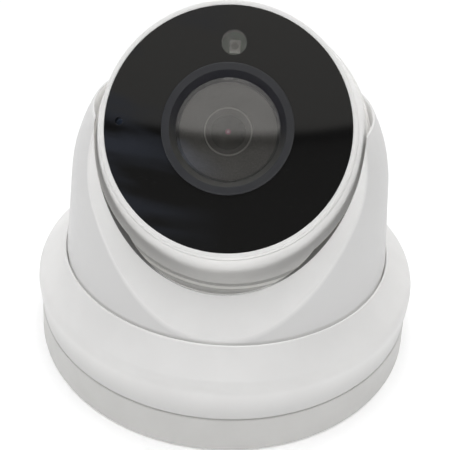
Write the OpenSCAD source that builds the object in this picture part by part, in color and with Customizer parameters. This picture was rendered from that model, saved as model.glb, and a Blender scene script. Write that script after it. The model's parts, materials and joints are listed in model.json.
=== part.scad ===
// Turret (eyeball) security camera: a round base with a twist-on trim ring,
// a panning bell-shaped cover with a scooped opening, and a tilting eyeball.
// The origin is the centre of the mounting face, +Z is up and the front is -Y.

/* [Base] */
// Radius of the base at the mounting face
base_foot_r = 63.6; // [62.8:0.1:65]
// Radius of the base at its seam with the trim ring
base_seam_r = 62.5; // [62.3:0.1:62.7]
// Height of the seam between base and trim ring
base_seam_z = 11.8; // [11:0.1:12.5]
// Radius of the circle of mounting holes
mount_circle_r = 53.3; // [53.2:0.1:53.4]
// Radius of each mounting hole
mount_hole_r = 2.3; // [2:0.1:2.5]
// Number of mounting holes
mount_holes = 3; // [3:1:4]
// Radius of the cable hole through the grommet
cable_r = 4; // [3:0.5:5]

/* [Trim ring] */
// Height at which the side wall turns into the shoulder
shoulder_z = 21.6; // [21:0.1:22]
// Height of the ring at its inner lip
ring_top_z = 31; // [30.6:0.1:31.2]
// Radius of the opening that the cover stands in
ring_bore_r = 52.9; // [52.9:0.1:53.2]
// Angle between locked and released
twist_angle = 15; // [8:1:15]

/* [Cover] */
// Radius of the cover where it leaves the trim ring
cover_joint_r = 52.5; // [52:0.1:52.6]
// Height of that joint
cover_joint_z = 31.3; // [31:0.1:32]
// Radius of the dome
dome_r = 49; // [48.9:0.1:49.4]
// Height of the dome's centre
dome_z = 50.8; // [50.6:0.1:51.2]
// Wall thickness
cover_wall = 2.3; // [2:0.1:2.4]
// Height at which the dome is cut off behind the eyeball
cover_top_z = 77.5; // [75:0.5:77.5]
// Radius of the scooped opening, seen from the front
opening_r = 36.5; // [36.4:0.1:36.7]
// Height of the opening's lowest point
opening_bottom_z = 41.8; // [41.7:0.1:42.2]

/* [Eyeball] */
// Height of the tilt pivot
pivot_z = 62.2; // [62:0.1:62.4]
// Angle of the eyeball's axis from vertical as it stands
rest_tilt = 54.7; // [50:0.1:58]
// Distance from the pivot to the front of the face window
face_z = 35.25; // [35:0.05:35.4]
// Radius of the face window
window_r = 31.43; // [31.2:0.01:31.5]
// Radius of the bezel's front rim
rim_r = 32.7; // [32.5:0.05:32.8]
// Radius of the bezel at its back edge
bezel_back_r = 41.5; // [41.3:0.1:41.6]
// Radius of the lens hood's flange
hood_r = 16.8; // [16.5:0.1:17]
// Distance of the light sensor from the axis
sensor_y = 21.9; // [21.5:0.1:22.5]
// Distance of the microphone hole from the axis
mic_x = 27.7; // [27.3:0.1:27.9]
// Number of infrared LEDs
led_count = 8; // [6:1:10]
// How far down the eyeball tilts from where it stands
tilt_down = 8; // [6:1:10]
// How far the day and night filter slides
filter_travel = 7; // [5:0.5:7]

/* [Hidden] */
$fn = 128;
eps = 0.02;
far = 200;

// Base: stack of the pan bearing
floor_t = 4;
base_bore_r = 11;
spigot_r = 59.5;
spigot_in_r = 57;
spigot_z = 17.4;
land_r = 34;
land_z = 8;
hub_r = 22;
hub_z = 11.2;
washer_gap = 0.4;
friction_t = 0.5;
plate_z = 8.55;
plate_t = 2;
plate_r = 46.8;
plate_bore_r = hub_r + 0.06;
wave_z = 10.6;
retainer_r = 29.5;
retainer_t = 1.8;
retainer_circle_r = 16.5;
gasket_in_r = 57.4;
gasket_out_r = 61;
gasket_t = 1.2;
counterbore_r = 3.6;
counterbore_z = 2.4;

// Screws
m3_shank_r = 1.4;
m3_pilot_r = 1.45;
m3_clear_r = 1.7;
m3_head_r = 2.8;
m3_head_t = 1.7;
socket_r = 1.3;
socket_depth = 1;
m2_shank_r = 0.95;
m2_pilot_r = 1;
m2_head_r = 1.9;
m2_head_t = 1.2;

// Bayonet between base and trim ring
lug_z = 13.2;
lug_t = 1.8;
lug_angle = 12;
lug_in_r = 58;
ring_clear = 0.4;
ring_r = base_seam_r - 0.2;
slot_spare = 1.5;
bayonet_start = 30;

// Cover
tangent_angle = acos(dome_r / norm([cover_joint_r, dome_z - cover_joint_z]))
    - atan((dome_z - cover_joint_z) / cover_joint_r);
cover_foot_z = 9.2;
cover_foot_r = 49.6;
cover_step_z = 20;
cover_step_h = 3;
flange_t = 2.6;
flange_z = plate_z + plate_t;
flange_in_r = 41;
flange_circle_r = 44.2;
cavity_r = 43.2;
dome_steps = 10;
inner_top_angle = 50;
lip_z = 25.4;
lip_t = 2.6;
room_h = 15;
room_slope = 0.28;
bezel_room_t = 0.5;
low_room_r = 29.8;
low_room_y = 42.8;
bezel_room_r = rim_r + 0.55;
arm_in_x = 43.1;
arm_t = 1.3;
arm_half_w = 6;
arm_bottom_half_w = 11;
arm_room = 0.3;

// Gimbal ring and seat
ring_ball_r = 42.5;
ring_in_r = 40.6;
ring_front_z = 3.4;
ring_back_z = -6.5;
pin_r = 2.5;
pin_bore_r = 2.55;
pin_head_r = 3.6;
pin_head_t = 0.45;
pin_in_x = ring_in_r + 0.1;
seat_in_r = 43.3;
seat_step_r = 44.1;
seat_out_r = 46.4;
seat_front_z = 3.2;
seat_step_drop = 0.7;
seat_back_z = -5;
seat_below = 26;
seat_post_w = 18;
seat_post_y = [-39.6, -32];
seat_post_under_z = 14.4;
seat_post_back_y = -23;
seat_screw_x = 5.5;
seat_screw_y = -36;

// Eyeball shells
shell_t = 2.2;
bezel_back_z = 3.7;
bezel_step_z = 32.2;
bezel_step_r = 33.4;
bezel_neck_r = 33.15;
bezel_front_z = face_z + 0.15;
bezel_bulge = 0.3;
ledge_r = 30;
ledge_z = 33;
ledge_t = 1.4;
seal_t = 0.25;
window_t = face_z - ledge_z - seal_t;
journal_r = 40.3;
housing_r = 42.3;
housing_front_z = -6.8;
housing_flat_z = -36;
housing_screw_circle_r = 35.3;
housing_boss_r = 4.3;
housing_head_z = -10;
housing_seal_t = 0.6;

// Optics
hood_lip_t = 0.85;
hood_barrel_r = 15.9;
hood_mouth_r = 14.8;
hood_bore_r = 12.7;
hood_back_z = 27.5;
glass_r = 13.4;
glass_z = 31.9;
glass_t = 1.6;
baffle_z = 29.7;
baffle_t = 0.9;
lens_r = 6.3;
lens_front_z = 31;
lens_back_z = 9.5;
lens_thread_r = 6;
lens_step_z = 24;
lens_glass_r = 4.6;
lens_glass_z = 27;
lens_cone_z = 29.8;
lens_rim_t = 0.35;
lens_dome_r = 7;

// Boards, in the eyeball's frame
led_board_z = 26.4;
board_t = 1.6;
led_board_r = 31.6;
led_board_in_r = 17;
led_circle_r = 24;
sensor_board_z = -4.2;
sensor_board_w = 34;
main_board_z = -15;
main_board_r = 30.3;
pillar_xy = 14;
post_xy = 18.4;
holder_z = sensor_board_z + board_t;
holder_w = 20;
holder_d = 16;
filter_slot_z = 5.4;
filter_slot_t = 1.5;
filter_slot_d = 10.4;
holder_top_z = 9.5;
holder_neck_r = 8;
holder_neck_z = 18;
filter_w = 16;
filter_d = 9.8;
filter_t = 0.9;
filter_x = -4.5;
pane_w = 6;

// ---- shared shapes -------------------------------------------------------

// Points on an arc in the radius and height plane
function arc(centre, r, from, to, steps) =
    [for (i = [0:steps]) let (a = from + (to - from) * i / steps)
        centre + r * [cos(a), sin(a)]];

// Points from a to b along a curve that bulges out by h at its middle
function bulged(a, b, h, steps) =
    [for (i = [0:steps]) let (t = i / steps, n = [b[1] - a[1], a[0] - b[0]] / norm(b - a))
        a + (b - a) * t + n * h * 4 * t * (1 - t)];

// Ring between two radii and two heights
module tube(r_in, r_out, z_low, z_high) {
    rotate_extrude() polygon([[r_in, z_low], [r_out, z_low], [r_out, z_high], [r_in, z_high]]);
}

// Copies on a circle about Z
module around(count, r, start = 0) {
    for (i = [0:count - 1]) rotate([0, 0, start + i * 360 / count]) translate([r, 0, 0]) children();
}

// Wedge about Z from one angle to another, for cutting round parts
module wedge(from, to, z_low, z_high) {
    steps = 6;
    translate([0, 0, z_low]) linear_extrude(z_high - z_low)
        polygon(concat([[0, 0]], [for (i = [0:steps]) let (a = from + (to - from) * i / steps)
            far * [cos(a), sin(a)]]));
}

// Screw with its head on z = 0, pointing down, with a hexagon socket in the head
module screw(shank_r, length, head_r, head_t) {
    difference() {
        union() {
            cylinder(r = head_r, h = head_t);
            translate([0, 0, -length]) cylinder(r = shank_r, h = length + eps);
        }
        translate([0, 0, head_t - socket_depth * head_t / m3_head_t])
            cylinder(r = socket_r * head_r / m3_head_r, h = head_t, $fn = 6);
    }
}

// The eyeball's frame: +Z along its optical axis, origin at the tilt pivot
module eyeball_frame() {
    translate([0, 0, pivot_z]) rotate([rest_tilt, 0, 0]) children();
}

module box(low, high) {
    translate(low) cube(high - low);
}

// ---- base ----------------------------------------------------------------

module base_plate() {
    slot_z = lug_z - ring_clear;
    slot_top = lug_z + lug_t + ring_clear;
    color("whitesmoke") difference() {
        rotate_extrude() polygon([[base_bore_r, 0], [base_foot_r - 0.6, 0], [base_foot_r, 0.8],
            [base_seam_r, base_seam_z - 0.4], [base_seam_r - 0.15, base_seam_z - 0.1],
            [base_seam_r - 0.5, base_seam_z], [spigot_r, base_seam_z], [spigot_r, spigot_z],
            [spigot_in_r, spigot_z], [spigot_in_r, floor_t], [land_r, floor_t], [land_r, land_z],
            [hub_r, land_z], [hub_r, hub_z], [base_bore_r, hub_z]]);
        tube(gasket_in_r, gasket_out_r, -1, gasket_t);
        around(mount_holes, mount_circle_r, 90) {
            translate([0, 0, -1]) cylinder(r = mount_hole_r, h = floor_t + 2);
            translate([0, 0, counterbore_z]) cylinder(r = counterbore_r, h = floor_t);
        }
        around(3, retainer_circle_r) translate([0, 0, 3]) cylinder(r = m3_pilot_r, h = hub_z);
        for (i = [0:2]) rotate([0, 0, bayonet_start + 120 * i]) {
            intersection() {
                tube(spigot_in_r - 1, spigot_r + 1, slot_z, slot_top);
                wedge(-slot_spare, lug_angle + twist_angle + slot_spare, 0, spigot_z);
            }
            intersection() {
                tube(spigot_in_r - 1, spigot_r + 1, slot_z, spigot_z + 1);
                wedge(twist_angle - slot_spare, lug_angle + twist_angle + slot_spare, 0, far);
            }
        }
    }
}

module wall_gasket() {
    color("dimgray") tube(gasket_in_r, gasket_out_r, 0, gasket_t);
}

module cable_grommet() {
    lip_r = base_bore_r - 3;
    color("black") rotate_extrude() polygon([[cable_r, 2.5], [base_bore_r, 2.5],
        [base_bore_r, 8.5], [lip_r, 8.5], [cable_r + 1.2, 10.5], [cable_r, 10.5]]);
}

module pan_friction_ring() {
    color("ivory") tube(hub_r + washer_gap, land_r - 0.5, land_z, land_z + friction_t);
}

module pan_wave_washer() {
    color("silver") tube(hub_r + washer_gap, retainer_r - 0.5, wave_z, hub_z);
}

module pan_retainer() {
    color("silver") difference() {
        tube(base_bore_r + 1, retainer_r, hub_z, hub_z + retainer_t);
        around(3, retainer_circle_r) translate([0, 0, hub_z - 1]) cylinder(r = m3_clear_r, h = 5);
    }
}

module pan_retainer_screws() {
    color("gray") around(3, retainer_circle_r) translate([0, 0, hub_z + retainer_t])
        screw(m3_shank_r, 8, m3_head_r, m3_head_t);
}

// ---- trim ring -----------------------------------------------------------

function ring_outline() = concat(
    [[ring_r - 0.3, base_seam_z + 0.1], [ring_r, base_seam_z + 0.4]],
    arc([ring_r + 0.1 - 5, shoulder_z], 5, 0, 55, 8),
    arc([ring_bore_r + 0.5, ring_top_z - 0.5], 0.5, 60, 180, 4));

module trim_ring() {
    inner_r = spigot_r + ring_clear;
    color("whitesmoke") difference() {
        union() {
            rotate_extrude() polygon(concat(ring_outline(), [[ring_bore_r, 27.2],
                [ring_bore_r + 0.6, 26.6], [56.2, 25.8], [inner_r - 1.2, 22.6], [inner_r, 20.4],
                [inner_r, base_seam_z + 0.1]]));
            for (i = [0:2]) rotate([0, 0, bayonet_start + 120 * i]) intersection() {
                tube(lug_in_r, inner_r + 0.5, lug_z, lug_z + lug_t);
                wedge(0, lug_angle, 0, far);
            }
        }
        translate([0, 0, 17.2]) rotate([-90, 0, 0]) cylinder(r = m3_pilot_r, h = far);
    }
}

module trim_lock_screw() {
    screw_y = [spigot_r + 0.45, ring_r - 0.2];
    color("gray") translate([0, screw_y[0], 17.2]) rotate([-90, 0, 0]) difference() {
        cylinder(r = m3_shank_r, h = screw_y[1] - screw_y[0]);
        translate([0, 0, 1.2]) cylinder(r = 0.8, h = 5, $fn = 6);
    }
}

// ---- panning cover -------------------------------------------------------

// Bell of revolution: a narrow foot, a skirt, a cone and a dome without a crease between them
module bell(inset) {
    foot_r = cover_foot_r - inset;
    joint_r = cover_joint_r - inset;
    low_z = inset == 0 ? cover_foot_z : cover_foot_z - 1;
    top_z = inset == 0 ? cover_top_z : dome_z + (dome_r - inset) * sin(inner_top_angle);
    top_angle = asin((top_z - dome_z) / (dome_r - inset));
    rotate_extrude() polygon(concat([[0, low_z], [foot_r, low_z],
        [foot_r, cover_step_z], [joint_r, cover_step_z + cover_step_h], [joint_r, cover_joint_z]],
        arc([0, dome_z], dome_r - inset, tangent_angle, top_angle, dome_steps), [[0, top_z]]));
}

// Half space in front of a plane across the eyeball's axis
module in_front_of(z) {
    eyeball_frame() translate([-far, -far, z]) cube([2 * far, 2 * far, far]);
}

// The scooped opening that the eyeball looks out of, bored level from the front
module opening() {
    translate([0, 0, opening_bottom_z + opening_r]) rotate([90, 0, 0]) {
        cylinder(r = opening_r, h = far);
        translate([-opening_r, 0, 0]) cube([2 * opening_r, far, far]);
    }
}

// Room beside the bezel at rest, below it, and round it where it is tilted all the way down
module bezel_room() {
    eyeball_frame() translate([0, low_room_r - low_room_y, lip_z - lip_t - 1.2])
        cylinder(r = low_room_r, h = lip_t + 1.2);
    eyeball_frame() translate([0, 0, lip_z - room_h])
        cylinder(r1 = opening_r + room_slope * room_h - 0.1, r2 = opening_r - 0.1, h = room_h);
    eyeball_frame() rotate([tilt_down, 0, 0]) translate([0, 0, lip_z - room_h])
        cylinder(r1 = bezel_room_r + room_slope * (bezel_front_z - lip_z + room_h), r2 = bezel_room_r,
            h = bezel_front_z - lip_z + room_h + bezel_room_t);
}

// Room in the cover's wall for the yoke's arms and the heads of the tilt pins
module arm_pockets() {
    for (turn = [0, 180]) rotate([0, 0, turn]) translate([0, 0, pivot_z]) rotate([90, 0, 90]) {
        linear_extrude(arm_in_x + arm_t + arm_room) union() {
            circle(r = arm_half_w + arm_room);
            translate([-arm_half_w - arm_room, cover_joint_z - pivot_z])
                square([2 * (arm_half_w + arm_room), pivot_z - cover_joint_z]);
        }
        cylinder(r = pin_head_r + arm_room, h = arm_in_x + arm_t + pin_head_t + 0.36);
    }
}

module cover_shell() {
    color("whitesmoke") difference() {
        bell(0);
        difference() {
            bell(cover_wall);
            in_front_of(lip_z - lip_t);
            tube(flange_in_r, far, flange_z, flange_z + flange_t);
        }
        in_front_of(lip_z);
        opening();
        bezel_room();
        arm_pockets();
        translate([0, 0, pivot_z]) sphere(r = cavity_r);
        for (side = [-1, 1]) translate([side * (arm_in_x + arm_t / 2), 0, flange_z + flange_t / 2])
            cube([arm_t + 1.2, 2 * arm_bottom_half_w + 1.2, flange_t + 1], center = true);
        around(3, flange_circle_r, 30) translate([0, 0, flange_z - 1])
            cylinder(r = m3_pilot_r, h = flange_t + 2);
    }
}

module yoke_arm() {
    bottom_z = plate_z;
    difference() {
        translate([arm_in_x, 0, 0]) rotate([90, 0, 90]) linear_extrude(arm_t) union() {
            polygon([[-arm_bottom_half_w, bottom_z], [arm_bottom_half_w, bottom_z],
                [arm_bottom_half_w, 22], [arm_half_w, 40], [arm_half_w, pivot_z],
                [-arm_half_w, pivot_z], [-arm_half_w, 40], [-arm_bottom_half_w, 22]]);
            translate([0, pivot_z]) circle(r = arm_half_w);
        }
        translate([0, 0, pivot_z]) rotate([0, 90, 0]) cylinder(r = pin_bore_r, h = far);
    }
}

module yoke_bracket() {
    color("silver") difference() {
        union() {
            tube(plate_bore_r, plate_r, plate_z, plate_z + plate_t);
            for (turn = [0, 180]) rotate([0, 0, turn]) yoke_arm();
        }
        around(3, flange_circle_r, 30) translate([0, 0, plate_z - 1])
            cylinder(r = m3_clear_r, h = plate_t + 2);
        for (x = [-seat_screw_x, seat_screw_x]) translate([x, seat_screw_y, plate_z - 1])
            cylinder(r = m2_pilot_r + 0.2, h = plate_t + 2);
    }
}

module cover_screws() {
    color("gray") around(3, flange_circle_r, 30) translate([0, 0, plate_z]) rotate([180, 0, 0])
        screw(m3_shank_r, plate_t + flange_t - 0.4, m3_head_r, m3_head_t);
}

module eyeball_seat() {
    step_z = seat_front_z - seat_step_drop;
    post_foot_z = plate_z + plate_t;
    post_top = pivot_z - seat_in_r * sin(rest_tilt) + 4;
    color("gainsboro") difference() {
        union() {
            eyeball_frame() intersection() {
                rotate_extrude() polygon([[seat_in_r - 1, seat_back_z], [seat_out_r, seat_back_z],
                    [seat_out_r, seat_front_z], [seat_step_r, seat_front_z],
                    [seat_step_r, step_z], [seat_in_r - 1, step_z]]);
                translate([-far, -seat_below - far, -far]) cube([2 * far, far, 2 * far]);
            }
            intersection() {
                translate([-seat_post_w / 2, 0, 0]) rotate([90, 0, 90]) linear_extrude(seat_post_w)
                    polygon([[seat_post_y[0], post_foot_z], [seat_post_y[1], post_foot_z],
                        [seat_post_y[1], seat_post_under_z], [seat_post_back_y, seat_post_under_z],
                        [seat_post_back_y, post_top], [seat_post_y[0], post_top]]);
                eyeball_frame() translate([0, 0, -far]) cylinder(r = far, h = far + step_z);
            }
        }
        translate([0, 0, pivot_z]) sphere(r = seat_in_r);
        for (x = [-seat_screw_x, seat_screw_x]) translate([x, seat_screw_y, 0])
            cylinder(r = m2_pilot_r, h = post_foot_z + 5);
    }
}

module seat_screws() {
    color("gray") for (x = [-seat_screw_x, seat_screw_x]) translate([x, seat_screw_y, plate_z])
        rotate([180, 0, 0]) screw(m2_shank_r, plate_t + 4, m2_head_r, m2_head_t);
}

// ---- tilting ring --------------------------------------------------------

module gimbal_ring() {
    color("whitesmoke") eyeball_frame() difference() {
        intersection() {
            sphere(r = ring_ball_r);
            tube(ring_in_r, ring_ball_r + 1, ring_back_z, ring_front_z);
        }
        rotate([0, 90, 0]) cylinder(r = pin_r, h = far, center = true);
    }
}

module tilt_pins() {
    head_x = arm_in_x + arm_t + 0.06;
    color("silver") translate([0, 0, pivot_z]) for (turn = [0, 180]) rotate([0, 0, turn])
        rotate([0, 90, 0]) {
            translate([0, 0, pin_in_x]) cylinder(r = pin_r, h = head_x - pin_in_x + eps);
            translate([0, 0, head_x]) cylinder(r = pin_head_r, h = pin_head_t);
        }
}

module tilt_washers() {
    gap = 0.04;
    color("ivory") translate([0, 0, pivot_z]) for (turn = [0, 180]) rotate([0, 0, turn])
        rotate([0, 90, 0]) tube(pin_r + gap, 5.4, ring_ball_r, arm_in_x - gap);
}

// ---- eyeball shells ------------------------------------------------------

function bezel_side() = bulged([bezel_back_r, bezel_back_z + 0.4], [bezel_step_r, bezel_step_z],
    bezel_bulge, 12);

module front_bezel() {
    inner_back = [bezel_back_r - shell_t, bezel_back_z];
    inner_front = [bezel_step_r - shell_t, ledge_z - ledge_t];
    color("whitesmoke") eyeball_frame() difference() {
        union() {
            rotate_extrude() polygon(concat([[bezel_back_r - 0.4, bezel_back_z]], bezel_side(),
                [[bezel_neck_r, bezel_step_z], [bezel_neck_r, bezel_step_z + 0.35],
                [rim_r + 0.12, bezel_front_z - 1]],
                arc([rim_r - 0.45, bezel_front_z - 0.5], 0.5, 0, 90, 4),
                [[window_r + 0.1, bezel_front_z], [window_r + 0.02, bezel_front_z - 0.1],
                [window_r + 0.02, ledge_z],
                [ledge_r, ledge_z], [ledge_r, ledge_z - ledge_t], inner_front, inner_back]));
            around(3, housing_screw_circle_r, 90) translate([0, 0, bezel_back_z])
                cylinder(r = 3.2, h = 9);
            around(3, led_board_r - 1.5, 30) translate([0, 0, led_board_z + board_t])
                cylinder(r = 1.3, h = ledge_z - ledge_t - led_board_z - board_t + 0.5);
        }
        around(3, housing_screw_circle_r, 90) translate([0, 0, bezel_back_z - 1])
            cylinder(r = m2_pilot_r, h = 9);
    }
}

module rear_housing() {
    flat_r = sqrt(housing_r * housing_r - housing_flat_z * housing_flat_z);
    color("whitesmoke") eyeball_frame() difference() {
        union() {
            tube(journal_r - shell_t + 0.3, journal_r, housing_front_z - 1, bezel_back_z - housing_seal_t);
            difference() {
                intersection() {
                    sphere(r = housing_r);
                    translate([0, 0, housing_flat_z])
                        cylinder(r = housing_r + 1, h = housing_front_z - housing_flat_z);
                }
                intersection() {
                    sphere(r = housing_r - shell_t);
                    translate([0, 0, housing_flat_z + shell_t]) cylinder(r = housing_r, h = far);
                }
                cylinder(r = journal_r - shell_t + 0.3, h = far, center = true);
            }
            difference() {
                translate([0, 0, housing_flat_z]) cylinder(r = flat_r + 4, h = shell_t);
                difference() {
                    cylinder(r = far, h = far, center = true);
                    sphere(r = housing_r);
                }
            }
            intersection() {
                sphere(r = housing_r - 0.5);
                union() {
                    difference() {
                        translate([0, 0, housing_flat_z])
                            cylinder(r = journal_r - shell_t + 0.31, h = -housing_flat_z + housing_front_z);
                        sphere(r = housing_r - shell_t);
                    }
                    around(3, housing_screw_circle_r, 90) translate([0, 0, housing_flat_z])
                        cylinder(r = housing_boss_r, h = bezel_back_z - housing_seal_t - housing_flat_z);
                    for (x = [-post_xy, post_xy], y = [-post_xy, post_xy])
                        translate([x, y, housing_flat_z])
                            cylinder(r = 2.6, h = main_board_z - housing_flat_z);
                }
            }
        }
        around(3, housing_screw_circle_r, 90) {
            translate([0, 0, -far]) cylinder(r = m2_head_r + 0.4, h = far + housing_head_z);
            cylinder(r = m2_pilot_r + 0.2, h = far, center = true);
        }
        for (x = [-post_xy, post_xy], y = [-post_xy, post_xy])
            translate([x, y, main_board_z - 6]) cylinder(r = m2_pilot_r, h = 7);
        translate([0, 0, housing_flat_z - 1]) cylinder(r = 6, h = shell_t + 2);
    }
}

module housing_seal() {
    color("black") eyeball_frame() difference() {
        tube(bezel_back_r - shell_t, journal_r - 0.1, bezel_back_z - housing_seal_t, bezel_back_z);
    }
}

module housing_screws() {
    color("gray") eyeball_frame() around(3, housing_screw_circle_r, 90)
        translate([0, 0, housing_head_z]) rotate([180, 0, 0])
            screw(m2_shank_r, 20, m2_head_r, m2_head_t);
}

// ---- face ----------------------------------------------------------------

module window_seal() {
    color("black") eyeball_frame() tube(ledge_r, window_r, ledge_z, ledge_z + seal_t);
}

module face_window() {
    color([0.05, 0.05, 0.06]) eyeball_frame() difference() {
        tube(hood_barrel_r + 0.05, window_r, ledge_z + seal_t, face_z);
        translate([0, sensor_y, 0]) cylinder(r = 3.2, h = far);
        translate([-mic_x, 0, 0]) cylinder(r = 1, h = far);
    }
}

module sensor_insert() {
    color([0.45, 0.45, 0.47, 0.6]) eyeball_frame() translate([0, sensor_y, face_z - window_t])
        cylinder(r = 3.2, h = window_t);
}

module lens_hood() {
    front_z = face_z + hood_lip_t;
    color([0.16, 0.17, 0.19]) eyeball_frame() rotate_extrude() polygon(concat(
        [[hood_bore_r, hood_back_z], [hood_barrel_r, hood_back_z], [hood_barrel_r, face_z]],
        [[hood_r, face_z]], arc([hood_r - 0.4, front_z - 0.4], 0.4, 0, 90, 4),
        [[hood_mouth_r, front_z], [glass_r + 0.05, glass_z + glass_t], [glass_r + 0.05, glass_z],
        [hood_bore_r, glass_z]]));
}

module hood_glass() {
    color([0.6, 0.62, 0.65, 0.4]) eyeball_frame() translate([0, 0, glass_z])
        cylinder(r = glass_r, h = glass_t);
}

module lens_baffle() {
    color([0.33, 0.31, 0.29]) eyeball_frame()
        tube(lens_r + 0.15, hood_bore_r, baffle_z, baffle_z + baffle_t);
}

module ir_led_board() {
    color("darkgreen") eyeball_frame()
        tube(led_board_in_r, led_board_r, led_board_z, led_board_z + board_t);
}

module ir_leds() {
    gap_angle = 60;
    top_z = led_board_z + board_t;
    color("lightgray") eyeball_frame() for (i = [0:led_count - 1])
        rotate([0, 0, 90 + gap_angle / 2 + (360 - gap_angle) * i / (led_count - 1)])
            translate([led_circle_r, 0, top_z]) {
                translate([-1.75, -1.75, 0]) cube([3.5, 3.5, 1]);
                intersection() {
                    translate([0, 0, 0.6]) sphere(r = 1.6);
                    cylinder(r = 2, h = 4);
                }
            }
}

module light_sensor() {
    low = [-1.4, sensor_y - 0.65, led_board_z + board_t];
    color("beige") eyeball_frame() difference() {
        translate(low) cube([2.8, 3, 1.6]);
        translate(low + [1.4, 1.5, 1.1]) cylinder(r = 0.95, h = 1);
    }
}

module microphone() {
    low_z = led_board_z + board_t;
    color("black") eyeball_frame() translate([-mic_x, 0, 0]) difference() {
        union() {
            translate([0, 0, low_z]) cylinder(r = 2.1, h = 2.4);
            translate([0, 0, low_z]) cylinder(r = 1.7, h = ledge_z + seal_t - low_z);
        }
        translate([0, 0, low_z + 1]) cylinder(r = 0.8, h = far);
    }
}

// ---- lens and electronics ------------------------------------------------

module lens_barrel() {
    color([0.1, 0.1, 0.1]) eyeball_frame() rotate_extrude() polygon([[4.2, lens_back_z],
        [lens_thread_r, lens_back_z], [lens_thread_r, lens_step_z], [lens_r, lens_step_z],
        [lens_r, lens_front_z], [lens_r - lens_rim_t, lens_front_z],
        [lens_r - lens_rim_t - 0.1, lens_front_z - 0.3], [lens_glass_r + 0.02, lens_cone_z],
        [lens_glass_r + 0.02, lens_glass_z], [4.2, lens_glass_z]]);
}

module front_lens() {
    color([0.2, 0.2, 0.3, 0.5]) eyeball_frame() intersection() {
        translate([0, 0, lens_glass_z]) cylinder(r = lens_glass_r, h = 4);
        translate([0, 0, lens_cone_z + 0.9 - lens_dome_r]) sphere(r = lens_dome_r);
    }
}

module lens_holder() {
    color([0.15, 0.15, 0.15]) eyeball_frame() difference() {
        union() {
            box([-holder_w / 2, -holder_d / 2, holder_z], [holder_w / 2, holder_d / 2, holder_top_z]);
            translate([0, 0, holder_top_z - 1]) cylinder(r = holder_neck_r, h = holder_neck_z - holder_top_z + 1);
        }
        translate([0, 0, holder_top_z - eps]) cylinder(r = lens_thread_r + 0.03, h = far);
        translate([0, 0, holder_z - 1]) cylinder(r = 4.5, h = far);
        box([-6.5, -5, holder_z - 1], [6.5, 5, 1.5]);
        box([-far, -filter_slot_d / 2, filter_slot_z], [far, filter_slot_d / 2, filter_slot_z + filter_slot_t]);
    }
}

module filter_frame() {
    low_z = filter_slot_z + (filter_slot_t - filter_t) / 2;
    color("black") eyeball_frame() difference() {
        box([filter_x, -filter_d / 2, low_z], [filter_x + filter_w, filter_d / 2, low_z + filter_t]);
        for (x = [0, filter_travel]) translate([x, 0, low_z + filter_t / 2])
            cube([pane_w, pane_w, 2], center = true);
    }
}

module filter_panes() {
    low_z = filter_slot_z + (filter_slot_t - filter_t) / 2;
    color([0.7, 0.5, 0.6, 0.5]) eyeball_frame() for (x = [0, filter_travel])
        translate([x, 0, low_z + filter_t / 2]) cube([pane_w, pane_w, 0.5], center = true);
}

module filter_motor() {
    color("saddlebrown") eyeball_frame() {
        box([-4, holder_d / 2, 0], [4, holder_d / 2 + 5, 7]);
        translate([0, holder_d / 2 + 2.5, 7 - eps]) cylinder(r = 1.8, h = 1.4);
    }
}

module image_sensor() {
    color("dimgray") eyeball_frame() box([-5.5, -4, holder_z], [5.5, 4, holder_z + 1.5]);
}

module sensor_board() {
    half = sensor_board_w / 2;
    color("darkgreen") eyeball_frame() difference() {
        box([-half, -half, sensor_board_z], [half, half, sensor_board_z + board_t]);
        for (x = [-pillar_xy, pillar_xy], y = [-pillar_xy, pillar_xy])
            translate([x, y, sensor_board_z - 1]) cylinder(r = m2_pilot_r, h = 5);
    }
}

module board_pillars() {
    color("goldenrod") eyeball_frame() for (x = [-pillar_xy, pillar_xy], y = [-pillar_xy, pillar_xy]) {
        translate([x, y, main_board_z + board_t])
            cylinder(r = 2, h = sensor_board_z - main_board_z - board_t);
        translate([x, y, sensor_board_z - eps]) cylinder(r = m2_shank_r, h = board_t + 1);
    }
}

module main_board() {
    color("darkgreen") eyeball_frame() difference() {
        translate([0, 0, main_board_z]) cylinder(r = main_board_r, h = board_t);
        for (x = [-post_xy, post_xy], y = [-post_xy, post_xy])
            translate([x, y, main_board_z - 1]) cylinder(r = m2_pilot_r + 0.2, h = 5);
    }
}

module processor() {
    color("black") eyeball_frame() box([-7, -7, main_board_z - 1.4], [7, 7, main_board_z]);
}

module heat_pad() {
    color("lightblue") eyeball_frame() translate([0, 0, main_board_z - 3.4]) box([-6, -6, 0], [6, 6, 2]);
}

module board_screws() {
    color("gray") eyeball_frame() for (x = [-post_xy, post_xy], y = [-post_xy, post_xy])
        translate([x, y, main_board_z + board_t]) screw(m2_shank_r, 5, m2_head_r, m2_head_t);
}

module cable_gland() {
    z = housing_flat_z;
    color("black") eyeball_frame() rotate_extrude() polygon([[3, z - 4], [5.2, z - 4], [6.8, z - 1.2],
        [6.8, z], [6, z], [6, z + shell_t], [8, z + shell_t], [8, z + shell_t + 1.4],
        [3, z + shell_t + 1.4]]);
}

// ---- pieces --------------------------------------------------------------

base_plate();
wall_gasket();
cable_grommet();
pan_friction_ring();
pan_wave_washer();
pan_retainer();
pan_retainer_screws();
trim_ring();
trim_lock_screw();
cover_shell();
yoke_bracket();
cover_screws();
eyeball_seat();
seat_screws();
gimbal_ring();
tilt_pins();
tilt_washers();
front_bezel();
rear_housing();
housing_seal();
housing_screws();
window_seal();
face_window();
sensor_insert();
lens_hood();
hood_glass();
lens_baffle();
ir_led_board();
ir_leds();
light_sensor();
microphone();
lens_barrel();
front_lens();
lens_holder();
image_sensor();
sensor_board();
board_pillars();
main_board();
processor();
heat_pad();
board_screws();
cable_gland();
filter_frame();
filter_panes();
filter_motor();
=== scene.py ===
import json
import math

import bpy
from mathutils import Matrix, Vector

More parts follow.
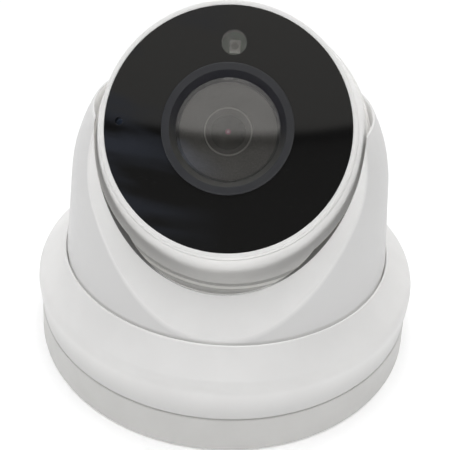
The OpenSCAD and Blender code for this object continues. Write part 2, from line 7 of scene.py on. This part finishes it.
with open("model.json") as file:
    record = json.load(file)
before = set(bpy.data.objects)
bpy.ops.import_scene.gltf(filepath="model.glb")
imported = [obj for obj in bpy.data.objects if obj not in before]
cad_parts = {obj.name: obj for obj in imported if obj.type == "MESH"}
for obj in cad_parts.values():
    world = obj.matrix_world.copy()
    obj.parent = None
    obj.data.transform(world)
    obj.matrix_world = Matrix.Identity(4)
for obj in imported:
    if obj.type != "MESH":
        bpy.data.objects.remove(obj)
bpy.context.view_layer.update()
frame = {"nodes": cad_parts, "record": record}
scene = bpy.context.scene
MM = 0.001

# The eyeball's own frame starts at the tilt axis, and its +Z is the way the camera looks at rest
PIVOT_Z = 62.2 * MM
REST_TILT = math.radians(54.7)

# Places in that frame: heights along its +Z, distances from its axis, and the light sensor's chip
BORE_FOOT_Z = 18 * MM
LIP_Z = 25.4 * MM
BARREL_FRONT_Z = 28.5 * MM
BARREL_RIM_Z = 30.9 * MM
HOOD_MOUTH_R = 14.8 * MM
SENSOR_CHIP_Y = 22.75 * MM
SENSOR_CHIP_R = 0.95 * MM

# The trim ring's wall, above the mounting plane
RING_FOOT_Z = 10 * MM
RING_TOP_Z = 24 * MM

# ---------------------------------------------------------------- camera
CAMERA_TARGET = Vector((-0.00085, 0.0, 0.0333))
CAMERA_DISTANCE = 0.2065
CAMERA_AZIMUTH = math.radians(2.8)
CAMERA_ELEVATION = math.radians(34.57)
CAMERA_ROLL = math.radians(2.83)
CAMERA_LENS = 49.21


def make_camera():
    data = bpy.data.cameras.new("camera")
    data.sensor_width = 36
    data.lens = CAMERA_LENS
    data.clip_start = 0.01
    data.clip_end = 20
    cam = bpy.data.objects.new("camera", data)
    scene.collection.objects.link(cam)
    pitch = math.pi / 2 - CAMERA_ELEVATION
    level = Matrix.Rotation(CAMERA_AZIMUTH, 4, "Z") @ Matrix.Rotation(pitch, 4, "X")
    back = level.to_3x3() @ Vector((0, 0, 1))
    place = Matrix.Translation(CAMERA_TARGET + CAMERA_DISTANCE * back)
    cam.matrix_world = place @ level @ Matrix.Rotation(CAMERA_ROLL, 4, "Z")
    scene.camera = cam


# ---------------------------------------------------------------- node trees
class Tree:
    """A node tree with short calls for what the finishes share."""

    def __init__(self, node_tree):
        self.nodes = node_tree.nodes
        self.links = node_tree.links

    def add(self, kind, **settings):
        node = self.nodes.new("ShaderNode" + kind)
        for key, value in settings.items():
            setattr(node, key, value)
        return node

    def feed(self, socket, value):
        """Sets a socket, or links it where the value is another node's output."""
        if isinstance(value, bpy.types.NodeSocket):
            self.links.new(value, socket)
        elif socket.type == "RGBA" and len(value) == 3:
            socket.default_value = (*value, 1)
        else:
            socket.default_value = value

    def math(self, operation, a, b=0.0, clamp=False):
        node = self.add("Math", operation=operation, use_clamp=clamp)
        self.feed(node.inputs[0], a)
        self.feed(node.inputs[1], b)
        return node.outputs[0]

    def span(self, value, low, high, out_low=0.0, out_high=1.0, smooth=False):
        """The value taken from the range low..high to out_low..out_high, and held at its ends."""
        node = self.add("MapRange", interpolation_type="SMOOTHSTEP" if smooth else "LINEAR")
        for socket, number in zip(node.inputs, (value, low, high, out_low, out_high)):
            self.feed(socket, number)
        return node.outputs[0]

    def mix(self, share, a, b):
        node = self.add("Mix", data_type="RGBA")
        self.feed(node.inputs["Factor"], share)
        self.feed(node.inputs["A"], a)
        self.feed(node.inputs["B"], b)
        return node.outputs["Result"]

    def axes(self, vector):
        """The vector's X, Y and Z, each as a socket."""
        split = self.add("SeparateXYZ")
        self.feed(split.inputs[0], vector)
        return split.outputs

    def stretched(self, vector, scale):
        node = self.add("Mapping", vector_type="POINT")
        self.feed(node.inputs["Vector"], vector)
        self.feed(node.inputs["Scale"], scale)
        return node.outputs[0]

    def noise(self, vector, size, detail=2.0):
        """Noise from about 0.3 to 0.7, with features of the given size."""
        node = self.add("TexNoise")
        self.feed(node.inputs["Vector"], vector)
        self.feed(node.inputs["Scale"], 1 / size)
        self.feed(node.inputs["Detail"], detail)
        return node.outputs["Fac"]


class Finish(Tree):
    """A material's tree round its Principled node, in the object's own frame."""

    def __init__(self, name):
        self.material = bpy.data.materials.new(name)
        self.material.use_nodes = True
        super().__init__(self.material.node_tree)
        self.shader = self.nodes["Principled BSDF"]
        self.place = self.add("TexCoord").outputs["Object"]

    def eye_place(self):
        """The place in the eyeball's own frame."""
        node = self.add("Mapping", vector_type="TEXTURE")
        self.feed(node.inputs["Vector"], self.place)
        self.feed(node.inputs["Location"], (0, 0, PIVOT_Z))
        self.feed(node.inputs["Rotation"], (REST_TILT, 0, 0))
        return node.outputs[0]

    def axis_distance(self, place):
        across, up, _ = self.axes(place)
        squares = [self.math("POWER", side, 2.0) for side in (across, up)]
        return self.math("SQRT", self.math("ADD", *squares))

    def measured_from(self, point, place):
        """The place measured from the given point."""
        node = self.add("VectorMath", operation="SUBTRACT")
        self.feed(node.inputs[0], place)
        self.feed(node.inputs[1], point)
        return node.outputs[0]

    def tint(self, share, colour):
        """Mixes a colour over the base colour that the finish has so far."""
        plain = self.shader.inputs["Base Color"].links[0].from_socket
        self.set(Base_Color=self.mix(share, plain, colour))

    def see_through(self, tint, surface_share):
        """Lets what is behind show between the share of light that the surface itself gives."""
        clear = self.add("BsdfTransparent")
        self.feed(clear.inputs["Color"], tint)
        join = self.add("MixShader")
        self.feed(join.inputs[0], surface_share)
        self.links.new(clear.outputs[0], join.inputs[1])
        self.links.new(self.shader.outputs[0], join.inputs[2])
        self.links.new(join.outputs[0], self.nodes["Material Output"].inputs["Surface"])

    def rounded(self, radius):
        node = self.add("Bevel", samples=6)
        self.feed(node.inputs["Radius"], radius)
        return node.outputs[0]

    def edge_mask(self, rounded):
        """1 along the edges that the rounded normal turns, and 0 on open faces."""
        dot = self.add("VectorMath", operation="DOT_PRODUCT")
        self.feed(dot.inputs[0], rounded)
        self.feed(dot.inputs[1], self.add("NewGeometry").outputs["Normal"])
        return self.span(dot.outputs["Value"], 0.99, 0.8, smooth=True)

    def bump(self, height, depth, normal=None, strength=1.0):
        node = self.add("Bump")
        self.feed(node.inputs["Height"], height)
        self.feed(node.inputs["Distance"], depth)
        self.feed(node.inputs["Strength"], strength)
        if normal is not None:
            self.feed(node.inputs["Normal"], normal)
        return node.outputs[0]

    def set(self, **values):
        for key, value in values.items():
            self.feed(self.shader.inputs[key.replace("_", " ")], value)


def moulded(name, colour, variant, rough, edge, worn, patch=14 * MM, grain=0.3 * MM, depth=0.008 * MM,
            wear=0.5, metal=0.0, stretch=(1, 1, 1), extra=None):
    """A moulded, cast or plated finish: patches of two close colours, a fine grain, and worn edges."""
    f = Finish(name)
    place = f.stretched(f.place, stretch)
    patches = f.span(f.noise(f.place, patch, 3.0), 0.35, 0.65, smooth=True)
    rounded = f.rounded(edge)
    broken = f.span(f.noise(f.place, 1.2 * MM), 0.35, 0.6, 0.3, 1.0)
    edges = f.math("MULTIPLY", f.math("MULTIPLY", f.edge_mask(rounded), broken), wear)
    colours = f.mix(patches, colour, variant)
    roughness = f.span(f.noise(f.place, 3 * MM, 4.0), 0.35, 0.65, *rough)
    roughness = f.math("SUBTRACT", roughness, f.math("MULTIPLY", edges, 0.1))
    f.set(Base_Color=f.mix(edges, colours, worn), Roughness=roughness, Metallic=metal,
          Normal=f.bump(f.noise(place, grain, 3.0), depth, rounded))
    if extra:
        extra(f)
    return f.material


# ---------------------------------------------------------------- light, world and floor
# What polished faces mirror: brightness at the sine of a direction's height, from the horizon up
MIRRORED = ((0.0, 1.3), (0.36, 1.2), (0.50, 0.2), (0.66, 0.17), (0.683, 0.14),
            (0.692, 0.07), (0.698, 0.07), (0.706, 0.6), (0.85, 0.7), (1.0, 0.8))
TOP_LIGHT = (3.8, 3.8, 3.82)
BACK_LIGHT = (0.25, 0.25, 0.25)
LOW_LIGHT = (0.02, 0.02, 0.02)
STREAK_COLOUR = (0.5, 0.56, 0.72)
PALE_WALL = (0.97, 0.97, 0.97)
FLOOR_GLOW = 0.13
FLOOR_HALF = 4.0
FLOOR_DROP = 0.2 * MM
LAMP_TARGET = (0, 0, 0.05)
LAMP_DISTANCE = 0.9
LAMP_SIZE = 0.3


def make_world():
    """Soft light from above and a little from behind. Polished faces mirror a pale room with a dark rail
    across it, and a pale wall stands behind the object."""
    world = bpy.data.worlds.new("studio")
    world.use_nodes = True
    scene.world = world
    t = Tree(world.node_tree)
    direction = t.add("TexCoord").outputs["Generated"]
    across, depth, height = t.axes(direction)
    behind = t.math("MULTIPLY", t.span(height, 0.42, 0.6), t.span(depth, -0.15, 0.1))
    soft = t.mix(t.span(height, 0.82, 0.94), t.mix(behind, LOW_LIGHT, BACK_LIGHT), TOP_LIGHT)
    # The mirrored rail leans to one side and wavers a little
    leaning = t.math("ADD", height, t.math("MULTIPLY", across, -0.06))
    waves = t.math("MULTIPLY", t.math("SUBTRACT", t.noise(direction, 0.35), 0.5), 0.02)
    ramp = t.add("ValToRGB")
    t.feed(ramp.inputs[0], t.math("ADD", leaning, waves))
    stops = ramp.color_ramp.elements
    while len(stops) < len(MIRRORED):
        stops.new(0.5)
    for stop, (place, level) in zip(stops, MIRRORED):
        stop.position = place
        stop.color = (level * 1.02, level, level * 0.95, 1)
    # Bluish streaks to the left of the camera
    streaks = t.span(t.noise(t.stretched(direction, (1.1, 1, 8)), 0.3, 4.0), 0.5, 0.66)
    left = t.math("MULTIPLY", t.span(across, -0.04, -0.2), streaks)
    mirrored = t.mix(left, ramp.outputs[0], STREAK_COLOUR)
    rays = t.add("LightPath")
    background = t.nodes["Background"]
    lit = t.mix(rays.outputs["Is Glossy Ray"], soft, mirrored)
    t.feed(background.inputs["Color"], t.mix(rays.outputs["Is Camera Ray"], lit, PALE_WALL))
    t.feed(background.inputs["Strength"], 1.0)


def fill_light(name, azimuth, elevation, power):
    """A soft square lamp aimed at the object. It casts no shadow, and polished faces don't mirror it."""
    data = bpy.data.lights.new(name, "AREA")
    data.shape = "SQUARE"
    data.size = LAMP_SIZE
    data.energy = power
    data.use_shadow = False
    lamp = bpy.data.objects.new(name, data)
    scene.collection.objects.link(lamp)
    pitch = math.radians(90 - elevation)
    turn = Matrix.Rotation(math.radians(azimuth), 4, "Z") @ Matrix.Rotation(pitch, 4, "X")
    lamp.matrix_world = Matrix.Translation(LAMP_TARGET) @ turn @ Matrix.Translation((0, 0, LAMP_DISTANCE))
    lamp.visible_glossy = False


def make_floor():
    mesh = bpy.data.meshes.new("floor")
    corners = [(x * FLOOR_HALF, y * FLOOR_HALF, 0) for x, y in ((-1, -1), (1, -1), (1, 1), (-1, 1))]
    mesh.from_pydata(corners, [], [(0, 1, 2, 3)])
    floor = bpy.data.objects.new("floor", mesh)
    floor.location.z = -FLOOR_DROP
    scene.collection.objects.link(floor)
    f = Finish("floor")
    shade = f.span(f.noise(f.place, 0.4), 0.3, 0.7)
    f.set(Base_Color=f.mix(shade, (0.91, 0.91, 0.91), (0.93, 0.93, 0.93)), Roughness=0.9,
          Emission_Color=(1, 1, 1), Emission_Strength=FLOOR_GLOW)
    mesh.materials.append(f.material)


# ---------------------------------------------------------------- finishes
def cover_painted_shade(f):
    """The cover's wall, a little greyer than its lip as a painted shade that leaves a paler painted
    highlight along the ridge, and its bore in painted shadow with a thin painted shadow line near the lip.
    """
    across, _, height = f.axes(f.eye_place())
    facing = f.add("VectorMath", operation="DOT_PRODUCT")
    f.feed(facing.inputs[0], f.measured_from((0, 0, PIVOT_Z), f.place))
    f.feed(facing.inputs[1], f.add("TexCoord").outputs["Normal"])
    outer = f.span(facing.outputs["Value"], 0, 1 * MM)
    inner = f.math("SUBTRACT", 1.0, outer)
    # Painted shadow in the bore, darkest at its sides, with a thin painted shadow line just behind the lip
    bore = f.math("MULTIPLY", inner, f.span(height, LIP_Z - 0.04 * MM, LIP_Z - 0.1 * MM))
    bore = f.math("MULTIPLY", bore, f.span(height, BORE_FOOT_Z, BORE_FOOT_Z + 0.2 * MM))
    line = f.math("MULTIPLY", bore, f.span(height, LIP_Z - 0.5 * MM, LIP_Z - 0.3 * MM))
    side = f.span(f.math("ABSOLUTE", across), 12 * MM, 20 * MM, 0.25, 0.95, smooth=True)
    # Painted shade on the outer wall; the band within a millimetre of the lip stays paler, a painted
    # highlight on the ridge
    wall = f.math("MULTIPLY", outer, f.span(height, LIP_Z - 0.1 * MM, LIP_Z - 1.1 * MM))
    f.tint(wall, (0.73, 0.727, 0.722))
    f.tint(f.math("MULTIPLY", bore, side), (0.06, 0.06, 0.057))
    f.tint(f.math("MULTIPLY", line, 0.5), (0.2, 0.2, 0.19))


def ring_wall_painted_shade(f):
    """The trim ring's wall, a little greyer towards its foot: a painted shade."""
    height = f.axes(f.place)["Z"]
    f.tint(f.span(height, RING_TOP_Z, RING_FOOT_Z, smooth=True), (0.6, 0.597, 0.59))


def sensor_chip(f):
    """The grey sensing chip in the middle of the light sensor's pale package."""
    distance = f.axis_distance(f.measured_from((0, SENSOR_CHIP_Y, 0), f.eye_place()))
    f.tint(f.span(distance, SENSOR_CHIP_R + 0.05 * MM, SENSOR_CHIP_R - 0.05 * MM), (0.24, 0.235, 0.22))


def hood_painted_light_and_shade(f):
    """The hood's inner wall with painted light and shade: greyer below where light falls on it, and a dark
    blue painted shade above.
    """
    place = f.eye_place()
    inner = f.span(f.axis_distance(place), HOOD_MOUTH_R + 0.05 * MM, HOOD_MOUTH_R - 0.1 * MM)
    above = f.span(f.axes(place)["Y"], -6 * MM, 4 * MM, smooth=True)
    f.tint(inner, f.mix(above, (0.036, 0.036, 0.033), (0.004, 0.004, 0.008)))


def window_finish():
    """Polished black acrylic: a barely wavy face with a faint haze and a little dust."""
    f = Finish("black_window")
    haze = f.span(f.noise(f.place, 9 * MM, 3.0), 0.35, 0.7, 0.02, 0.05)
    dust = f.span(f.noise(f.place, 0.35 * MM, 1.0), 0.74, 0.8)
    waves = f.bump(f.noise(f.place, 16 * MM, 0.0), 0.02 * MM, f.rounded(0.15 * MM))
    colour = f.mix(dust, (0.0042, 0.0042, 0.0043), (0.03, 0.03, 0.03))
    f.set(Base_Color=colour, Roughness=haze, IOR=1.5, Normal=waves)
    return f.material


def smoked_finish():
    """A smoked pane that shows what is behind it."""
    f = Finish("smoked_window")
    haze = f.span(f.noise(f.place, 2 * MM, 3.0), 0.35, 0.7, 0.04, 0.12)
    clouds = f.span(f.noise(f.place, 3 * MM), 0.4, 0.6)
    colour = f.mix(clouds, (0.27, 0.262, 0.25), (0.3, 0.292, 0.28))
    f.set(Base_Color=colour, Roughness=haze, IOR=1.5, Normal=f.rounded(0.15 * MM))
    f.see_through((0.97, 0.97, 0.95), 0.3)
    return f.material


def glass_finish(name, tint, mirror_tint, base_share):
    """Coated glass: clear, with a mirrored share that grows towards its edges."""
    f = Finish(name)
    fresnel = f.add("Fresnel")
    f.feed(fresnel.inputs["IOR"], 1.5)
    smears = f.span(f.noise(f.place, 5 * MM, 3.0), 0.35, 0.7, 0.01, 0.04)
    clouds = f.span(f.noise(f.place, 6 * MM), 0.4, 0.6)
    f.set(Base_Color=f.mix(clouds, mirror_tint, [c * 0.93 for c in mirror_tint]),
          Roughness=smears, Metallic=1.0, Normal=f.rounded(0.1 * MM))
    f.see_through(tint, f.math("ADD", fresnel.outputs[0], base_share))
    return f.material


def lens_finish():
    """The coated front lens: an olive-grey painted sheen round a small magenta pupil, a painted reflection
    of the inner lens with a painted highlight at its middle.
    """
    f = Finish("lens_coating")
    radius = f.axis_distance(f.eye_place())
    sheen = f.mix(f.span(f.noise(f.place, 2 * MM), 0.4, 0.6), (0.052, 0.05, 0.043), (0.06, 0.057, 0.05))
    # Painted reflection in the pupil, with a pale painted highlight at its middle
    pupil = f.span(radius, 0.85 * MM, 0.6 * MM, smooth=True)
    pupil_ring = f.span(radius, 0.3 * MM, 0.4 * MM, smooth=True)
    painted_pupil_and_glint = f.mix(pupil_ring, (0.75, 0.5, 0.6), (0.4, 0.12, 0.2))
    haze = f.span(f.noise(f.place, 1 * MM), 0.3, 0.7, 0.45, 0.55)
    f.set(Base_Color=f.mix(pupil, sheen, painted_pupil_and_glint), Roughness=haze, Specular_IOR_Level=0.2, IOR=1.5,
          Normal=f.rounded(0.1 * MM))
    return f.material


def barrel_finish():
    """The lens barrel: grey-brown anodising in front, black behind, and a paler colour on its front rim."""
    f = Finish("lens_barrel")
    height = f.axes(f.eye_place())["Z"]
    grain = f.noise(f.place, 0.25 * MM, 3.0)
    front = f.mix(f.span(grain, 0.35, 0.65), (0.082, 0.077, 0.069), (0.105, 0.099, 0.09))
    body = f.mix(f.span(height, BARREL_FRONT_Z, BARREL_FRONT_Z + 1 * MM), (0.02, 0.02, 0.021), front)
    rim = f.span(height, BARREL_RIM_Z, BARREL_RIM_Z + 0.07 * MM)
    f.set(Base_Color=f.mix(rim, body, (0.36, 0.35, 0.32)), Roughness=f.span(grain, 0.3, 0.7, 0.4, 0.6),
          Normal=f.bump(grain, 0.01 * MM, f.rounded(0.1 * MM)))
    return f.material


def baffle_finish():
    """The matt disc round the lens, with the fine speckle of a sprayed finish."""
    f = Finish("baffle")
    grain = f.noise(f.place, 0.3 * MM, 4.0)
    cloud = f.noise(f.place, 6 * MM, 3.0)
    fine = f.mix(f.span(grain, 0.35, 0.65), (0.066, 0.062, 0.056), (0.128, 0.121, 0.109))
    f.set(Base_Color=f.mix(f.span(cloud, 0.35, 0.65, 0.0, 0.3), fine, (0.075, 0.068, 0.064)),
          Roughness=f.span(grain, 0.3, 0.7, 0.55, 0.75), Normal=f.bump(grain, 0.02 * MM))
    return f.material


def board_finish():
    """Green solder mask over copper tracks, with tinned pads."""
    f = Finish("circuit_board")
    place = f.eye_place()
    tracks = f.add("TexBrick", offset=0.35)
    f.feed(tracks.inputs["Vector"], place)
    track_sizes = {"Scale": 420.0, "Mortar Size": 0.02, "Brick Width": 0.9, "Row Height": 0.3}
    for key, value in track_sizes.items():
        f.feed(tracks.inputs[key], value)
    pads = f.add("TexVoronoi", feature="F1")
    f.feed(pads.inputs["Vector"], place)
    f.feed(pads.inputs["Scale"], 380.0)
    pad = f.span(pads.outputs["Distance"], 0.2, 0.16)
    mask = f.mix(f.span(f.noise(f.place, 5 * MM), 0.4, 0.6), (0.008, 0.075, 0.028), (0.012, 0.095, 0.035))
    tracked = f.mix(tracks.outputs["Fac"], mask, (0.03, 0.16, 0.06))
    relief = f.math("ADD", tracks.outputs["Fac"], pad)
    f.set(Base_Color=f.mix(pad, tracked, (0.62, 0.6, 0.55)), Metallic=pad,
          Roughness=f.span(pad, 0, 1, 0.38, 0.3), Normal=f.bump(relief, 0.03 * MM, f.rounded(0.1 * MM)))
    return f.material


def foam_finish():
    """Closed-cell foam."""
    f = Finish("foam")
    cells = f.add("TexVoronoi", feature="SMOOTH_F1")
    f.feed(cells.inputs["Vector"], f.place)
    f.feed(cells.inputs["Scale"], 1 / (0.5 * MM))
    hollow = cells.outputs["Distance"]
    colour = f.mix(f.span(hollow, 0.1, 0.6), (0.03, 0.03, 0.032), (0.07, 0.07, 0.073))
    f.set(Base_Color=colour, Roughness=0.92, Normal=f.bump(hollow, 0.08 * MM))
    return f.material


# Moulded, cast and plated finishes, as moulded() takes them
WHITE = {
    "colour": (0.84, 0.835, 0.825),
    "variant": (0.82, 0.815, 0.805),
    "rough": (0.36, 0.46),
    "edge": 0.45 * MM,
    "worn": (0.87, 0.865, 0.855),
}
MOULDED = {
    "white_plastic": WHITE,
    # The cover in a paler copy of the white plastic: a painted light, with painted shade added by its extra
    "white_cover_painted_light_and_shade": WHITE | {
        "colour": (0.92, 0.915, 0.905),
        "variant": (0.9, 0.895, 0.885),
        "extra": cover_painted_shade,
    },
    "white_ring_painted_shade": WHITE | {"extra": ring_wall_painted_shade},
    # The base in a darker copy of the white plastic: a painted shade
    "white_base_painted_shade": WHITE | {"colour": (0.62, 0.615, 0.6), "variant": (0.6, 0.595, 0.58)},
    # The eyeball's parts in a paler copy of the white plastic: a painted light
    "white_ball_painted_light": WHITE | {"colour": (0.93, 0.925, 0.91), "variant": (0.91, 0.905, 0.89)},
    "black_rubber": {
        "colour": (0.012, 0.012, 0.013),
        "variant": (0.02, 0.02, 0.02),
        "rough": (0.6, 0.8),
        "edge": 0.3 * MM,
        "worn": (0.04, 0.04, 0.04),
    },
    "nylon": {
        "colour": (0.72, 0.69, 0.6),
        "variant": (0.68, 0.65, 0.55),
        "rough": (0.35, 0.5),
        "edge": 0.2 * MM,
        "worn": (0.76, 0.74, 0.66),
    },
    "steel": {
        "colour": (0.55, 0.55, 0.56),
        "variant": (0.48, 0.48, 0.5),
        "rough": (0.24, 0.4),
        "edge": 0.25 * MM,
        "worn": (0.72, 0.72, 0.72),
        "grain": 0.2 * MM,
        "depth": 0.004 * MM,
        "metal": 1.0,
        "stretch": (1, 0.05, 1),
    },
    "dark_screws": {
        "colour": (0.2, 0.2, 0.21),
        "variant": (0.14, 0.14, 0.15),
        "rough": (0.28, 0.42),
        "edge": 0.12 * MM,
        "worn": (0.55, 0.54, 0.52),
        "grain": 0.15 * MM,
        "depth": 0.003 * MM,
        "metal": 1.0,
    },
    "hood_plastic": {
        "colour": (0.0185, 0.0195, 0.0225),
        "variant": (0.016, 0.017, 0.021),
        "rough": (0.36, 0.46),
        "edge": 0.3 * MM,
        "worn": (0.045, 0.046, 0.046),
        "patch": 8 * MM,
        "wear": 0.35,
        "extra": hood_painted_light_and_shade,
    },
    "led_package": {
        "colour": (0.9, 0.88, 0.84),
        "variant": (0.86, 0.84, 0.79),
        "rough": (0.25, 0.4),
        "edge": 0.12 * MM,
        "worn": (0.78, 0.76, 0.7),
        "patch": 2 * MM,
    },
    "black_plastic": {
        "colour": (0.014, 0.014, 0.015),
        "variant": (0.02, 0.02, 0.021),
        "rough": (0.4, 0.55),
        "edge": 0.2 * MM,
        "worn": (0.05, 0.05, 0.05),
    },
    "brass": {
        "colour": (0.66, 0.46, 0.19),
        "variant": (0.58, 0.4, 0.17),
        "rough": (0.22, 0.35),
        "edge": 0.12 * MM,
        "worn": (0.8, 0.6, 0.3),
        "patch": 2 * MM,
        "grain": 0.1 * MM,
        "depth": 0.003 * MM,
        "metal": 1.0,
    },
    "light_sensor": {
        "colour": (0.95, 0.94, 0.92),
        "variant": (0.9, 0.89, 0.87),
        "rough": (0.25, 0.4),
        "edge": 0.12 * MM,
        "worn": (0.97, 0.96, 0.94),
        "patch": 2 * MM,
        "extra": sensor_chip,
    },
    "microphone": {
        "colour": (0.1, 0.12, 0.17),
        "variant": (0.06, 0.08, 0.12),
        "rough": (0.3, 0.5),
        "edge": 0.1 * MM,
        "worn": (0.3, 0.34, 0.42),
        "patch": 1 * MM,
    },
}


def make_finishes():
    finishes = {name: moulded(name, **look) for name, look in MOULDED.items()}
    return finishes | {
        "black_window": window_finish(),
        "smoked_window": smoked_finish(),
        "clear_glass": glass_finish("clear_glass", (0.97, 0.97, 0.965), (0.9, 0.9, 0.92), 0.085),
        "filter_glass": glass_finish("filter_glass", (0.75, 0.5, 0.55), (0.7, 0.35, 0.45), 0.1),
        "lens_coating": lens_finish(),
        "black_anodised": barrel_finish(),
        "baffle": baffle_finish(),
        "circuit_board": board_finish(),
        "foam": foam_finish(),
    }


# Nodes whose finish isn't the one that their material slot names
OWN_FINISH = {
    "base_plate": "white_base_painted_shade",
    "trim_ring": "white_ring_painted_shade",
    "cover_shell": "white_cover_painted_light_and_shade",
    "front_bezel": "white_ball_painted_light",
    "gimbal_ring": "white_ball_painted_light",
    "eyeball_seat": "white_ball_painted_light",
    "front_lens": "lens_coating",
    "light_sensor": "light_sensor",
    "microphone": "microphone",
}


def dress_nodes(finishes):
    for part in frame["record"]["subparts"]:
        slots = frame["nodes"][part["node"]].data.materials
        slots.clear()
        slots.append(finishes[OWN_FINISH.get(part["node"], part["material_slot"])])


make_camera()
make_world()
fill_light("low_fill", azimuth=2.8, elevation=-35, power=1.9)
fill_light("left_fill", azimuth=-100, elevation=25, power=1.0)
fill_light("right_fill", azimuth=100, elevation=25, power=0.5)
make_floor()
scene.view_settings.view_transform = "Standard"
dress_nodes(make_finishes())
